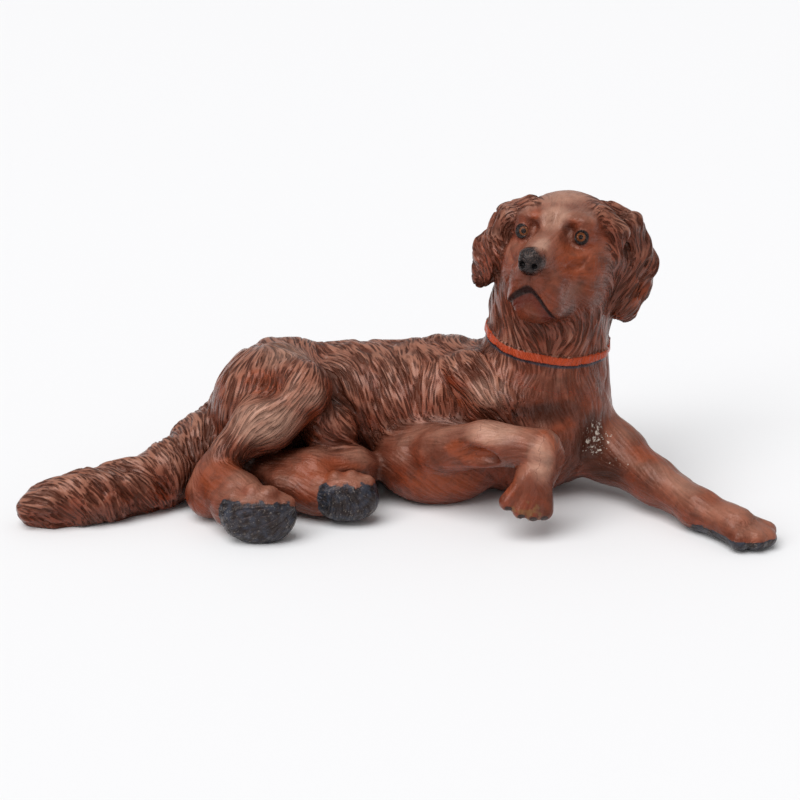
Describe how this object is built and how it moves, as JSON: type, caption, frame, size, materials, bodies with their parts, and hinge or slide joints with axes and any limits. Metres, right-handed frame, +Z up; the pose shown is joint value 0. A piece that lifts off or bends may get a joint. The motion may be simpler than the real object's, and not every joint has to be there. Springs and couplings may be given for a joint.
{
  "type": "resin dog figure",
  "caption": "Reclining long-coated dog figure cast in resin, head raised and turned, one foreleg stretched out, tail laid along the ground.",
  "frame": {"origin": "middle of the figure's box, on the surface that it lies on", "axes": "+X from the tail towards the stretched forepaw, -Y towards the side with the folded legs, +Z up"},
  "size_m": [0.3998, 0.1602, 0.169],
  "materials": {
    "painted_resin": "hand-painted red-brown with a satin varnish, dark brown in the grooves and a pinkish dry-brushed sheen on the raised hair, black nose and pads, amber eyes and an orange collar"
  },
  "bodies": {
    "root": {"retriever_figure": "painted_resin"}
  },
  "joints": []
}
